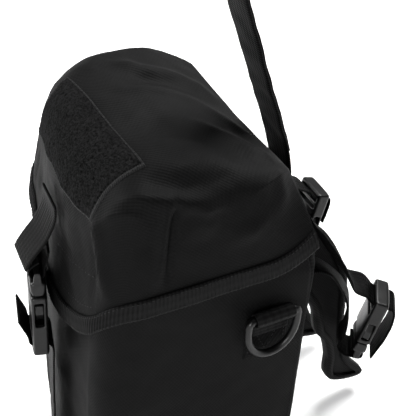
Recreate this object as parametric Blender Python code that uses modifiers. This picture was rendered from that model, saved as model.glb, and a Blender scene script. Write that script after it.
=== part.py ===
"""Flap-lid nylon bag with clip straps, in metres, +Z up, front towards -Y."""
import math

import bmesh
import bpy
from mathutils import Matrix, Vector

MM = 0.001

# Driving dimensions, millimetres.
WEB = 25.0             # webbing width of the closing strap, ring loops and top strap
WEB_T = 1.4            # webbing thickness
SIDE_WEB = 20.0        # webbing width of the side loops
SIDE_CLIP = 0.82       # size of their clips beside the front one
BODY_WALL = 2.5
LID_WALL = 1.8
BODY_TOP = 217.0
LID_HALF = 70.0        # half length of the lid at its fold
LID_FLARE = 3.5        # how much further out the lid stands at its lower edge
HINGE_Y = 44.0
HINGE_Z = 233.0
CROWN_Z = 255.0
FRONT_FOLD_Z = 215.0
NEAR_FOLD_Z = 236.0    # the lid slumps at the near end
FAR_FOLD_Z = 250.0     # and stands up at the far end
LID_FRONT_Y = -67.0
CORNER_R = 22.0
FAR_SLOPE = 17.0       # the emptier far front corner falls back by this much
TAPE = 12.0            # width of the edge tape
BUCKLE_TILT = math.radians(12.0)
FRONT_TURN = math.radians(-16.0)   # the front clip lies along the bag's sloping front
STRAP_TURN = math.radians(-6.0)

NYLON = (0.013, 0.013, 0.013)
WEBBING = (0.016, 0.016, 0.016)
PLASTIC = (0.020, 0.020, 0.021)
FUZZ = (0.009, 0.009, 0.009)


def clear_scene():
    for obj in list(bpy.data.objects):
        bpy.data.objects.remove(obj)


def collection(name):
    coll = bpy.data.collections.new(name)
    bpy.context.scene.collection.children.link(coll)
    return coll


clear_scene()
PARTS = collection("flap_lid_bag")
CUTTERS = collection("cutters")
CUTTERS.hide_render = True


def material(name, color, roughness):
    mat = bpy.data.materials.new(name)
    mat.use_nodes = True
    shader = mat.node_tree.nodes["Principled BSDF"]
    shader.inputs["Base Color"].default_value = (*color, 1.0)
    shader.inputs["Roughness"].default_value = roughness
    shader.inputs["Metallic"].default_value = 0.0
    return mat


def add(name, mesh, color, roughness, smooth=True):
    mesh.materials.append(material(name + "_mat", color, roughness))
    obj = bpy.data.objects.new(name, mesh)
    PARTS.objects.link(obj)
    if smooth:
        for face in mesh.polygons:
            face.use_smooth = True
    return obj


def mesh_from(name, verts, faces):
    mesh = bpy.data.meshes.new(name)
    mesh.from_pydata([tuple(c * MM for c in v) for v in verts], [], faces)
    mesh.update()
    bm = bmesh.new()
    bm.from_mesh(mesh)
    bmesh.ops.recalc_face_normals(bm, faces=bm.faces)
    bm.to_mesh(mesh)
    bm.free()
    return mesh


def set_origin(obj, point):
    """Move an object's origin to a point in millimetres without moving its mesh."""
    shift = Vector(point) * MM
    obj.data.transform(Matrix.Translation(-shift))
    obj.location = shift
    return obj


def box(name, low, high):
    """A plain box between two corners."""
    bm = bmesh.new()
    bmesh.ops.create_cube(bm, size=1.0)
    size = [(h - l) * MM for l, h in zip(low, high)]
    mid = [(h + l) * MM / 2.0 for l, h in zip(low, high)]
    bmesh.ops.scale(bm, vec=size, verts=bm.verts)
    bmesh.ops.translate(bm, vec=mid, verts=bm.verts)
    mesh = bpy.data.meshes.new(name)
    bm.to_mesh(mesh)
    bm.free()
    return mesh


def cutter(name, low, high):
    obj = bpy.data.objects.new(name, box(name, low, high))
    CUTTERS.objects.link(obj)
    obj.display_type = "WIRE"
    obj.hide_render = True
    return obj


def boolean(obj, other, operation):
    mod = obj.modifiers.new(operation.lower(), "BOOLEAN")
    mod.operation = operation
    mod.solver = "EXACT"
    mod.object = other


def bevel(obj, width, segments=2):
    mod = obj.modifiers.new("rounded_edges", "BEVEL")
    mod.width = width * MM
    mod.segments = segments
    mod.limit_method = "ANGLE"
    mod.angle_limit = math.radians(40.0)


def solidify(obj, thickness, offset):
    mod = obj.modifiers.new("wall", "SOLIDIFY")
    mod.thickness = thickness * MM
    mod.offset = offset
    mod.use_even_offset = True


def spline(points, steps):
    """Catmull-Rom samples through a list of points."""
    pts = [Vector(p) for p in points]
    pts = [pts[0] * 2 - pts[1]] + pts + [pts[-1] * 2 - pts[-2]]
    out = []
    for i in range(1, len(pts) - 2):
        p0, p1, p2, p3 = pts[i - 1:i + 3]
        for k in range(steps):
            t = k / steps
            out.append(0.5 * (2 * p1 + (p2 - p0) * t + (2 * p0 - 5 * p1 + 4 * p2 - p3) * t * t
                              + (3 * p1 - p0 - 3 * p2 + p3) * t ** 3))
    out.append(pts[-2])
    return out


def ribbon(name, points, across, across_end=None, twist=(0, 1), width=WEB, thick=WEB_T, steps=3):
    """Flat webbing along a path; its width turns from across to across_end between two path points."""
    path = spline(points, steps)
    start = Vector(across).normalized()
    end = Vector(across_end or across).normalized()
    first, last = twist[0] * steps, twist[1] * steps
    verts = []
    for i, point in enumerate(path):
        across = start.lerp(end, min(1.0, max(0.0, (i - first) / (last - first)))).normalized()
        ahead = path[min(i + 1, len(path) - 1)] - path[max(i - 1, 0)]
        normal = ahead.cross(across).normalized()
        for side, face in ((-1, -1), (1, -1), (1, 1), (-1, 1)):
            verts.append(point + across * side * width / 2 + normal * face * thick / 2)
    faces = []
    for i in range(len(path) - 1):
        a, b = i * 4, i * 4 + 4
        for k in range(4):
            j = (k + 1) % 4
            faces.append((a + k, a + j, b + j, b + k))
    faces.append((0, 1, 2, 3))
    last = (len(path) - 1) * 4
    faces.append((last, last + 1, last + 2, last + 3))
    return add(name, mesh_from(name, verts, faces), WEBBING, 0.75, smooth=False)


def yz_path(x, points):
    return [(x, y, z) for y, z in points]


# Plan outline of the body and the lid

def front_y(x, half, near_y):
    """Front face in plan: it falls back gradually towards the emptier far corner."""
    return near_y + FAR_SLOPE * (max(0.0, 30.0 - x) / (half + 30.0)) ** 2


def end_x(y, half, inset):
    """End face in plan, drawn in towards the back corner by the inset."""
    return half - inset * (max(0.0, y - 8.0) / 36.0) ** 2


def plan_outline(half, corner_y, back_y, radius, insets=(0.0, 0.0), ends=6, corner=5, front=12):
    """Open outline from the near back corner round the front to the far back corner."""
    near_y = front_y(half - radius, half, corner_y) + radius
    far_y = front_y(radius - half, half, corner_y) + radius
    pts = []
    for i in range(ends):
        y = back_y + (near_y - back_y) * i / ends
        pts.append((end_x(y, half, insets[0]), y))
    for i in range(corner):
        a = math.pi / 2 * i / corner
        x = half - radius + radius * math.cos(a)
        pts.append((x, near_y - radius * math.sin(a)))
    for i in range(front + 1):
        x = (half - radius) * (1.0 - 2.0 * i / front)
        pts.append((x, front_y(x, half, corner_y)))
    for i in range(1, corner + 1):
        a = math.pi / 2 * (1.0 - i / corner)
        x = -(half - radius + radius * math.cos(a))
        pts.append((x, far_y - radius * math.sin(a)))
    for i in range(1, ends + 1):
        y = far_y + (back_y - far_y) * i / ends
        pts.append((-end_x(y, half, insets[1]), y))
    return pts


# Body: height, half length, front Y, back Y, corner radius, how far the back corners are drawn in
BODY_RINGS = (
    (0.0, 60.0, -61.0, 51.0, 18.0, 0.0),
    (3.0, 64.5, -65.5, 55.5, 20.0, 0.0),
    (12.0, 67.0, -68.5, 57.0, 22.0, 0.0),
    (60.0, 68.0, -69.5, 57.5, 22.0, 0.0),
    (120.0, 68.0, -68.8, 57.5, 22.0, 0.0),
    (142.0, 67.8, -67.6, 57.5, 22.0, 0.0),
    (170.0, 67.0, -65.8, 57.0, 22.0, 0.0),
    (182.0, 66.5, -65.0, 55.0, 22.0, 2.0),
    (207.0, 65.0, -62.0, 48.0, 22.0, 10.0),
    (BODY_TOP, 64.5, -60.6, 44.5, 22.0, 17.0),
)
BACK_STEPS = 6


def body_ring(z, half, corner_y, back_y, radius, inset):
    ring = plan_outline(half, corner_y, back_y, radius, (inset, inset))
    side = ring[0][0]
    ring += [(-side + 2 * side * i / BACK_STEPS, back_y) for i in range(1, BACK_STEPS)]
    return [(x, y, z) for x, y in ring]


def make_body():
    rings = [body_ring(*row) for row in BODY_RINGS]
    count = len(rings[0])
    verts = [v for ring in rings for v in ring]
    faces = [tuple(range(count))]
    for r in range(len(rings) - 1):
        for i in range(count):
            j = (i + 1) % count
            a, b = r * count, (r + 1) * count
            faces.append((a + i, a + j, b + j, b + i))
    mesh = mesh_from("body_shell", verts, faces)
    if mesh.polygons[0].normal.z > 0:
        mesh.flip_normals()
    obj = add("body_shell", mesh, NYLON, 0.7)
    solidify(obj, BODY_WALL, -1.0)
    return obj


def make_base_board():
    outline = plan_outline(58.0, -57.0, 47.0, 16.0, ends=3, corner=3, front=6)
    verts = [(x, y, z) for z in (3.2, 5.2) for x, y in outline]
    n = len(outline)
    faces = [tuple(range(n)), tuple(range(n, 2 * n))]
    faces += [(i, (i + 1) % n, (i + 1) % n + n, i + n) for i in range(n)]
    return add("base_board", mesh_from("base_board", verts, faces), PLASTIC, 0.6, smooth=False)


# Back panel: outer Y, height, half length; it narrows towards the top under the lid
BACK_PROFILE = ((63.0, 14.0, 64.0), (63.5, 60.0, 64.0), (63.5, 160.0, 64.0), (61.5, 182.0, 64.0),
                (54.5, 205.0, 61.0), (52.2, 214.0, 56.0), (50.0, 224.0, 48.0))
BACK_PAD = 5.2


def make_back_panel():
    verts = []
    for y, z, half in BACK_PROFILE:
        verts += [(-half, y, z), (half, y, z), (half, y - BACK_PAD, z), (-half, y - BACK_PAD, z)]
    faces = [(0, 1, 2, 3)]
    for r in range(len(BACK_PROFILE) - 1):
        a = r * 4
        faces += [(a + k, a + (k + 1) % 4, a + 4 + (k + 1) % 4, a + 4 + k) for k in range(4)]
    last = (len(BACK_PROFILE) - 1) * 4
    faces.append((last, last + 1, last + 2, last + 3))
    obj = add("back_panel", mesh_from("back_panel", verts, faces), NYLON, 0.75)
    bevel(obj, 1.6, 2)
    return obj


# Lid

def lid_height(x, y):
    """Height of the lid's top over a point in plan."""
    front = front_y(x, LID_HALF, LID_FRONT_Y)
    u = min(1.0, max(0.0, (HINGE_Y - y) / (HINGE_Y - front)))
    e = min(1.0, abs(x) / LID_HALF)
    bend = 0.62 if x > 0 else 0.66 - 0.2 * e ** 6
    v = min(1.0, max(0.0, (u - bend) / (1.0 - bend)))
    end = NEAR_FOLD_Z if x > 0 else FAR_FOLD_Z
    crown = end + (CROWN_Z - end) * math.sqrt(1.0 - e ** 6)
    low = FRONT_FOLD_Z + (20.0 if x > 0 else -25.0) * e ** 4
    top = low + (crown - low) * (1.0 - v ** 2.4) ** (1.0 / 2.4)
    hinge = HINGE_Z + (-2.0 if x > 0 else 7.0) * e
    if u < bend:
        return top - (top - hinge) * (1.0 - u / bend) ** 2
    return top


def lid_edge_z(x, y):
    """Lower edge of the lid: level at the ends, dipping along the front, rising at the hinge."""
    front = LID_FRONT_Y - 3.0
    depth = min(1.0, max(0.0, (y - front) / 40.0))
    dip = 38.0 * (1.0 - min(1.0, abs(x) / 73.5) ** 2.2) * (1.0 - depth) ** 2
    rise = 12.0 * max(0.0, (y - 24.0) / 30.0) ** 2
    return 180.0 - dip + rise


FOLD = plan_outline(LID_HALF, LID_FRONT_Y, HINGE_Y, CORNER_R, (18.0, 12.0))
EDGE = plan_outline(LID_HALF + LID_FLARE, LID_FRONT_Y - 4.5, HINGE_Y + 10.0, CORNER_R + 1.0)
TOP_ROWS = (0.14, 0.28, 0.42, 0.54, 0.64, 0.72, 0.79, 0.85, 0.9, 0.94, 0.97, 1.0)
SKIRT_ROWS = 6


def skirt_point(i, row):
    """Point i of the skirt: row 0 at the fold, the last two rows either side of the edge tape."""
    (x0, y0), (x1, y1) = FOLD[i], EDGE[i]
    z0 = lid_height(x0, y0)
    z1 = lid_edge_z(x1, y1)
    tape = 1.0 - TAPE / (z0 - z1)
    t = tape * row / (SKIRT_ROWS - 1) if row < SKIRT_ROWS else 1.0
    out = math.sin(t * math.pi / 2)
    return (x0 + (x1 - x0) * out, y0 + (y1 - y0) * t, z0 + (z1 - z0) * t)


def make_lid():
    n = len(FOLD)
    verts = [(0.0, HINGE_Y, HINGE_Z)]
    for t in TOP_ROWS:
        for x, y in FOLD:
            px, py = x * t, HINGE_Y + (y - HINGE_Y) * t
            verts.append((px, py, lid_height(px, py)))
    for r in range(1, SKIRT_ROWS + 1):
        verts += [skirt_point(i, r) for i in range(n)]
    faces = [(0, 1 + i, 2 + i) for i in range(n - 1)]
    for r in range(len(TOP_ROWS) + SKIRT_ROWS - 1):
        a, b = 1 + r * n, 1 + (r + 1) * n
        faces += [(a + i, b + i, b + i + 1, a + i + 1) for i in range(n - 1)]
    mesh = mesh_from("lid_shell", verts, faces)
    if mesh.polygons[0].normal.z < 0:
        mesh.flip_normals()
    obj = add("lid_shell", mesh, NYLON, 0.7)
    solidify(obj, LID_WALL, -1.0)
    return set_origin(obj, (0.0, HINGE_Y, HINGE_Z))


def outward(i):
    """Plan direction away from the bag at skirt point i."""
    a, b = Vector(EDGE[max(i - 1, 0)]), Vector(EDGE[min(i + 1, len(EDGE) - 1)])
    d = (b - a).normalized()
    return Vector((-d.y, d.x))


def make_lid_binding():
    n = len(FOLD)
    verts = []
    for row in (SKIRT_ROWS - 1, SKIRT_ROWS):
        for i in range(n):
            x, y, z = skirt_point(i, row)
            normal = outward(i) * 0.5
            verts.append((x + normal.x, y + normal.y, z))
    faces = [(i, n + i, n + i + 1, i + 1) for i in range(n - 1)]
    mesh = mesh_from("lid_binding", verts, faces)
    if mesh.polygons[(n - 1) // 2].normal.y > 0:
        mesh.flip_normals()
    obj = add("lid_binding", mesh, WEBBING, 0.8)
    solidify(obj, 1.0, 1.0)
    return set_origin(obj, (0.0, HINGE_Y, HINGE_Z))


PANEL_HALF = 49.0
PANEL_BACK_Y = -38.0


def make_loop_panel():
    """Soft loop patch that follows the lid over its rounded front edge."""
    cols, rows = 14, 12
    verts = []
    for lift in (1.6, 3.2):
        for r in range(rows + 1):
            for c in range(cols + 1):
                x = PANEL_HALF * (1.0 - 2.0 * c / cols)
                front = front_y(x, LID_HALF, LID_FRONT_Y)
                start = math.asin(min(1.0, (-28.5 - PANEL_BACK_Y) / (-28.5 - front)))
                angle = start + (math.radians(80.0) - start) * r / rows
                y = -28.5 + (front + 28.5) * math.sin(angle)
                d = 0.4
                z = lid_height(x, y)
                slope_y = (lid_height(x, y + d) - lid_height(x, y - d)) / (2 * d)
                slope_x = (lid_height(x + d, y) - lid_height(x - d, y)) / (2 * d)
                normal = Vector((-slope_x, -slope_y, 1.0)).normalized()
                verts.append(tuple(Vector((x, y, z)) + normal * lift))
    w = cols + 1
    layer = w * (rows + 1)
    faces = []
    for r in range(rows):
        for c in range(cols):
            a = r * w + c
            faces.append((a, a + 1, a + w + 1, a + w))
            faces.append((layer + a, layer + a + 1, layer + a + w + 1, layer + a + w))
    rim = [c for c in range(w)]
    rim += [r * w + cols for r in range(1, rows + 1)]
    rim += [rows * w + c for c in range(cols - 1, -1, -1)]
    rim += [r * w for r in range(rows - 1, 0, -1)]
    for i, a in enumerate(rim):
        b = rim[(i + 1) % len(rim)]
        faces.append((a, b, layer + b, layer + a))
    obj = add("loop_panel", mesh_from("loop_panel", verts, faces), FUZZ, 0.95)
    return set_origin(obj, (0.0, HINGE_Y, HINGE_Z))


# Side-release clip, modelled upright with the male half on top and placed three times

MALE_END = 30.0
FEMALE_END = -30.0
MOUTH = 13.2
PRONG_ROOT = 13.2
PRONG_X = 9.6
PRONG = ((7.6, PRONG_ROOT), (11.6, PRONG_ROOT), (11.6, 8.0), (15.2, 7.2), (14.8, 1.0), (11.6, -5.5), (8.2, -5.5),
         (7.6, 2.0))


def rounded_block(name, low, high, width, segments=2):
    mesh = box(name, low, high)
    bm = bmesh.new()
    bm.from_mesh(mesh)
    bmesh.ops.bevel(bm, geom=list(bm.edges), offset=width * MM, segments=segments, profile=0.5, affect="EDGES")
    bm.to_mesh(mesh)
    bm.free()
    return mesh


def cut_mesh(name, base, additions, cuts):
    """The finished mesh of a block after adding and cutting boxes."""
    helper = bpy.data.objects.new(name + "_blank", base)
    CUTTERS.objects.link(helper)
    tools = []
    for operation, boxes in (("UNION", additions), ("DIFFERENCE", cuts)):
        for i, (low, high) in enumerate(boxes):
            tool = cutter(f"{name}_{operation.lower()}_{i}", low, high)
            boolean(helper, tool, operation)
            tools.append(tool)
    graph = bpy.context.evaluated_depsgraph_get()
    mesh = bpy.data.meshes.new_from_object(helper.evaluated_get(graph))
    for obj in [helper] + tools:
        bpy.data.objects.remove(obj)
    bm = bmesh.new()
    bm.from_mesh(mesh)
    bmesh.ops.remove_doubles(bm, verts=bm.verts, dist=0.00001)
    bmesh.ops.triangulate(bm, faces=bm.faces)
    bm.to_mesh(mesh)
    bm.free()
    return mesh


def make_clip_meshes():
    male = cut_mesh("clip_male", rounded_block("clip_male", (-15, -4.4, 13.6), (15, 4.4, 23.0), 1.3),
                    [((-14.6, -2.4, 21.0), (14.6, 2.4, MALE_END))], [((-12.8, -8, 22.5), (12.8, 8, 27.0))])
    female = cut_mesh("clip_female", rounded_block("clip_female", (-15.6, -5, FEMALE_END), (15.6, 5, MOUTH), 1.5),
                      [], [((-12.9, -3.1, -12.0), (12.9, 3.1, MOUTH + 4)),
                           ((-20, -2.8, -8.0), (20, 2.8, 9.0)),
                           ((-12.8, -8, -18.6), (12.8, 8, -15.0)),
                           ((-12.8, -8, -27.4), (12.8, 8, -21.6))])
    n = len(PRONG)
    verts = [(x, y, z) for y in (-2.4, 2.4) for x, z in PRONG]
    faces = [tuple(range(n)), tuple(range(n, 2 * n))]
    faces += [(i, (i + 1) % n, (i + 1) % n + n, i + n) for i in range(n)]
    return male, female, mesh_from("clip_prong", verts, faces)


def make_clip(prefix, place, meshes, size=Matrix.Identity(4)):
    """The two halves and two prongs of one clip; place turns the upright clip into position."""
    male, female, prong = meshes
    mirror = Matrix.Scale(-1.0, 4, (1.0, 0.0, 0.0))
    for tag, source, root in (("male", male, 0.0), ("female", female, 0.0), ("prong_a", prong, PRONG_X),
                              ("prong_b", prong, -PRONG_X)):
        mesh = source.copy()
        mesh.transform(size)
        if root < 0.0:
            mesh.transform(mirror)
            mesh.flip_normals()
        obj = add(prefix + "_" + tag, mesh, PLASTIC, 0.38, smooth=False)
        if root:
            set_origin(obj, size @ Vector((root, 0.0, PRONG_ROOT)))
        obj.matrix_world = place @ Matrix.Translation(obj.location)


def make_front_clip(meshes):
    middle = Vector((0.0, -79.4, 145.0))
    turn = Matrix.Rotation(FRONT_TURN, 4, "Z")
    make_clip("front_clip", Matrix.Translation(middle * MM) @ turn, meshes)

    def place(points, angle):
        spin = Matrix.Rotation(angle, 4, "Z")
        return [tuple(spin @ Vector((0.0, y - middle.y, z)) + Vector((0.0, middle.y, 0.0))) for y, z in points]

    along = turn @ Vector((1.0, 0.0, 0.0))
    strap_along = Matrix.Rotation(STRAP_TURN, 4, "Z") @ Vector((1.0, 0.0, 0.0))
    ribbon("lid_strap", place(((-70.2, 214.0), (-70.4, 207.0), (-72.4, 200.0), (-76.6, 192.0), (-81.6, 185.5),
                               (-85.6, 179.8), (-87.4, 176.4)), STRAP_TURN), strap_along)
    ribbon("clip_keeper_loop", place(((-72.8, 187.0), (-73.8, 182.0), (-75.0, 177.0), (-75.6, 172.0),
                                      (-77.2, 169.8), (-79.4, 169.4), (-81.6, 169.8), (-83.4, 172.0),
                                      (-83.6, 175.4), (-81.2, 178.2), (-77.8, 180.4)), FRONT_TURN), along, steps=2)
    ribbon("front_strap", place(((-73.2, 14.0), (-73.4, 40.0), (-73.2, 80.0), (-72.6, 104.0), (-72.4, 115.0),
                                 (-73.4, 119.2), (-76.0, 120.8), (-79.4, 120.9), (-83.0, 120.9), (-85.2, 122.6),
                                 (-85.6, 125.0)), FRONT_TURN), along, steps=2)
    ribbon("front_strap_tail", place(((-85.8, 126.3), (-86.6, 129.2), (-88.6, 134.0), (-90.6, 139.0)), FRONT_TURN),
           along)


# Adjustable loops behind the bag: out and lift move a loop's clip, turn twists it about the vertical

NEAR_LOOP = {"out": 0.0, "lift": 0.0, "turn": math.radians(-36.0)}
FAR_LOOP = {"out": 12.0, "lift": 15.0, "turn": math.radians(-5.0)}
LOOP_X = 48.0
TAIL_NEAR = ((4.6, -24.6), (8.4, -24.0), (11.0, -19.0), (12.5, -6.0), (12.0, 10.0), (10.0, 28.0))
TAIL_FAR = ((4.6, -24.6), (7.2, -24.0), (8.6, -20.0), (9.0, -10.0), (8.6, 0.0))


def make_side_loop(tag, side, loop, tail, meshes):
    out, lift, turn = loop["out"], loop["lift"], loop["turn"]
    upside_down = Matrix.Rotation(-BUCKLE_TILT, 4, "X") @ Matrix.Rotation(math.pi, 4, "Y")
    middle = Vector((side * LOOP_X, 125.5 + out, 90.0 + lift)) * MM
    size = Matrix.Diagonal((SIDE_CLIP, 1.0, SIDE_CLIP, 1.0))
    place = Matrix.Translation(middle) @ Matrix.Rotation(turn, 4, "Z") @ upside_down
    make_clip(tag + "_clip", place, meshes, size)
    across = (math.cos(turn), math.sin(turn), 0.0)

    def local(points):
        return [tuple(place @ (Vector((0.0, y, z * SIDE_CLIP)) * MM) / MM) for y, z in points]

    def hung(points):
        """Path points x, y, z, and how far each follows the clip's own out and lift."""
        return [(side * x, y + share * out, z + share * lift) for x, y, z, share in points]

    upper = hung(((48, 58.6, 199, 0), (48, 63.5, 191, 0), (48, 71, 182, 0.1), (48, 80, 169, 0.3),
                  (48, 90, 153, 0.5), (47.5, 99, 139, 0.7), (46, 107, 127.5, 0.9)))
    upper += local(((-12.0, -31.0), (-7.6, -27.0), (-3.5, -24.9), (0.0, -24.5), (3.8, -24.6)))
    ribbon(tag + "_upper_strap", upper, (1, 0, 0), across, twist=(4, 7), width=SIDE_WEB, steps=2)
    lean = side * turn / NEAR_LOOP["turn"]
    lower = hung(((48, 65, 157.5, 0), (48, 72, 155.5, 0), (48, 80, 150, 0.1), (48 - 2 * lean, 88, 141.5, 0.3),
                  (48 - 4.5 * lean, 96.5, 131, 0.5), (48 - 6.5 * lean, 105, 119, 0.7),
                  (48 - 7.5 * lean, 111.5, 105, 0.9), (48 - 8 * lean, 114, 92, 1),
                  (48 - 8.4 * lean, 113.5, 80, 1)))
    lower += local(((-13.5, 23.0), (-11.8, 29.0), (-6.5, 32.6), (-1.8, 32.2), (1.8, 31.9), (3.8, 30.2), (3.8, 26.8),
                    (2.0, 24.9), (-2.0, 24.7), (-5.2, 24.9)))
    ribbon(tag + "_lower_strap", lower, (1, 0, 0), across, twist=(2, 6), width=SIDE_WEB, steps=2)
    loose = ribbon(tag + "_strap_tail", local(tail), across, width=SIDE_WEB, steps=2)
    set_origin(loose, local(tail[:1])[0])


# Padded wing that hangs from the back panel on each side

WING = ((65.0, 170.0), (80.0, 166.0), (95.0, 154.0), (107.0, 136.0), (117.0, 114.0), (120.0, 90.0), (123.0, 60.0),
        (132.0, 34.0), (147.0, 14.0), (121.0, 20.0), (117.0, 42.0), (112.0, 58.0), (105.0, 68.0), (102.0, 78.0),
        (100.0, 88.0), (94.0, 100.0), (84.0, 114.0), (65.0, 128.0))
WING_X = 24.0
WING_THICK = 6.0


def make_wing(tag, side):
    middle = side * WING_X
    n = len(WING)
    verts = [(x, y, z) for x in (middle - WING_THICK / 2, middle + WING_THICK / 2) for y, z in WING]
    faces = [tuple(range(n)), tuple(range(n, 2 * n))]
    faces += [(i, (i + 1) % n, (i + 1) % n + n, i + n) for i in range(n)]
    obj = add(tag + "_wing", mesh_from(tag + "_wing", verts, faces), WEBBING, 0.7)
    bevel(obj, 1.5, 2)
    return set_origin(obj, (middle, 65.0, 149.0))


# D ring, its webbing loop and its patch on each end

RING_X = 73.5
RING_Y = 31.0
RING_Z = 151.0
RING_WIRE = 2.3
RING_HALF = 16.0


def tube(name, points, radius, color, roughness):
    curve = bpy.data.curves.new(name, "CURVE")
    curve.dimensions = "3D"
    curve.bevel_depth = radius * MM
    curve.bevel_resolution = 2
    curve.use_fill_caps = True
    line = curve.splines.new("POLY")
    line.points.add(len(points) - 1)
    for spot, point in zip(line.points, points):
        spot.co = (*[c * MM for c in point], 1.0)
    line.use_cyclic_u = True
    helper = bpy.data.objects.new(name + "_curve", curve)
    bpy.context.scene.collection.objects.link(helper)
    graph = bpy.context.evaluated_depsgraph_get()
    mesh = bpy.data.meshes.new_from_object(helper.evaluated_get(graph))
    bpy.data.objects.remove(helper)
    bm = bmesh.new()
    bm.from_mesh(mesh)
    bmesh.ops.remove_doubles(bm, verts=bm.verts, dist=0.00001)
    bmesh.ops.recalc_face_normals(bm, faces=bm.faces)
    bm.to_mesh(mesh)
    bm.free()
    return add(name, mesh, color, roughness)


def make_end_ring(tag, side):
    x = side * RING_X
    points = [(x, RING_Y - RING_HALF, RING_Z), (x, RING_Y + RING_HALF, RING_Z)]
    for i in range(13):
        a = math.pi * i / 12
        points.append((x, RING_Y + RING_HALF * math.cos(a), RING_Z - 8.0 - 20.0 * math.sin(a)))
    ring = tube(tag + "_d_ring", points, RING_WIRE, PLASTIC, 0.4)
    set_origin(ring, (x, RING_Y, RING_Z))
    path = [(69.9, RING_Z - 15.0), (69.9, RING_Z - 9.0), (69.9, RING_Z - 3.0)]
    for i in range(9):
        a = math.radians(160.0 - 240.0 * i / 8)
        path.append((RING_X + 3.6 * math.cos(a), RING_Z + 3.6 * math.sin(a)))
    path.append((71.9, RING_Z - 5.6))
    ribbon(tag + "_ring_loop", [(side * px, RING_Y, pz) for px, pz in path], (0, 1, 0), width=25.0, thick=1.2,
           steps=1)
    low = (68.4, RING_Y - 14.0, RING_Z - 34.0)
    high = (69.2, RING_Y + 14.0, RING_Z - 4.0)
    if side < 0:
        low, high = (-high[0], low[1], low[2]), (-low[0], high[1], high[2])
    add(tag + "_ring_patch", box(tag + "_ring_patch", low, high), NYLON, 0.75, smooth=False)


# Strap that rises behind the lid

TOP_STRAP_X = 4.0
TOP_PIVOT = (68.2, 170.0)   # on the strap's outer face, where it creases


def make_top_strap():
    ribbon("top_strap_base", yz_path(TOP_STRAP_X, ((64.9, 136.0), (64.9, 150.0), (64.9, 163.0), (66.2, 169.4))),
           (1, 0, 0), thick=2.2)
    strap = ribbon("top_strap", yz_path(TOP_STRAP_X, ((66.6, 170.2), (69.8, 184.0), (72.0, 198.0), (68.5, 214.0),
                                                      (61.0, 235.0), (51.5, 260.0), (43.0, 283.0), (33.0, 310.0),
                                                      (26.0, 330.0))), (1, 0, 0), thick=2.8)
    set_origin(strap, (TOP_STRAP_X, *TOP_PIVOT))


make_body()
make_base_board()
make_back_panel()
make_lid()
make_lid_binding()
make_loop_panel()
CLIP_MESHES = make_clip_meshes()
make_front_clip(CLIP_MESHES)
make_side_loop("near", 1.0, NEAR_LOOP, TAIL_NEAR, CLIP_MESHES)
make_side_loop("far", -1.0, FAR_LOOP, TAIL_FAR, CLIP_MESHES)
for tag_name, side_sign in (("near", 1.0), ("far", -1.0)):
    make_wing(tag_name, side_sign)
    make_end_ring(tag_name, side_sign)
make_top_strap()
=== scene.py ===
"""Looks for the flap-lid nylon bag: cloth, webbing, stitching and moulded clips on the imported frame."""
import math

import bmesh
import bpy
import numpy as np
from mathutils import Matrix, Vector, noise
from mathutils.bvhtree import BVHTree


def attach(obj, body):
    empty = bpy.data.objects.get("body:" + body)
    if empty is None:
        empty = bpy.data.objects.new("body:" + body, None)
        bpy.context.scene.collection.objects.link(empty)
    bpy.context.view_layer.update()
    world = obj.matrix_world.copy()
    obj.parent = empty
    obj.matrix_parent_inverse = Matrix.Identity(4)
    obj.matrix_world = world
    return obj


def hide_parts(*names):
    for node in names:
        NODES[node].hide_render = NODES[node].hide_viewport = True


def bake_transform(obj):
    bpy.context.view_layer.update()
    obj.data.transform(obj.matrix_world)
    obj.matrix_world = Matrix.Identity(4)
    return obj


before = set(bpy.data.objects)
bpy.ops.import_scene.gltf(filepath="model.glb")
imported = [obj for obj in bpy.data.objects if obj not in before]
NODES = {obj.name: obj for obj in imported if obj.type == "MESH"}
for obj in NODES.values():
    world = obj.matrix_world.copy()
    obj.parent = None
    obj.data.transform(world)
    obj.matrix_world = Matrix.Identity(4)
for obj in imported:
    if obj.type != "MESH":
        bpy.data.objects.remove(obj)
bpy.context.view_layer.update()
MM = 0.001
UP = Vector((0.0, 0.0, 1.0))

# Lid and body dimensions in millimetres, as in the CAD.
LID_HALF, LID_FLARE = 70.0, 3.5
HINGE_Y, HINGE_Z = 44.0, 233.0
CROWN_Z, FRONT_FOLD_Z, NEAR_FOLD_Z, FAR_FOLD_Z = 255.0, 215.0, 236.0, 250.0
LID_FRONT_Y, CORNER_R, FAR_SLOPE, TAPE = -67.0, 22.0, 17.0, 12.0


# Node and mesh helpers

def set_inputs(node, **values):
    for key, value in values.items():
        node.inputs[key.replace("_", " ")].default_value = value
    return node


def map_range(tree, source, low, high, start=0.0, end=1.0):
    """Takes a value that runs from start to end, and makes it run from low to high."""
    made = tree.nodes.new("ShaderNodeMapRange")
    set_inputs(made, From_Min=start, From_Max=end, To_Min=low, To_Max=high)
    tree.links.new(source, made.inputs["Value"])
    return made.outputs["Result"]


def rework(mesh, *changes):
    """Runs each change on a mesh opened for editing, and puts the result back."""
    bm = bmesh.new()
    bm.from_mesh(mesh)
    bm.verts.ensure_lookup_table()
    for change in changes:
        change(bm)
    bm.to_mesh(mesh)
    bm.free()


def face_outward(bm):
    bmesh.ops.recalc_face_normals(bm, faces=bm.faces)


def merge_doubles(bm):
    bmesh.ops.remove_doubles(bm, verts=bm.verts, dist=1e-6)


def places_of(mesh):
    return np.array([v.co[:] for v in mesh.vertices])


def set_places(mesh, points):
    for v, co in zip(mesh.vertices, points):
        v.co = co


def clamp(value):
    return min(1.0, max(0.0, value))


def travel_along(points):
    """Distance from the first point to each point of a line."""
    return np.concatenate([[0.0], np.cumsum(np.linalg.norm(np.diff(points, axis=0), axis=1))])


def points_at(want, places, points):
    """Points of a line at the wanted places, where places says what is known about each of its points."""
    return np.stack([np.interp(want, places, points[:, k]) for k in range(3)], axis=1)


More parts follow.
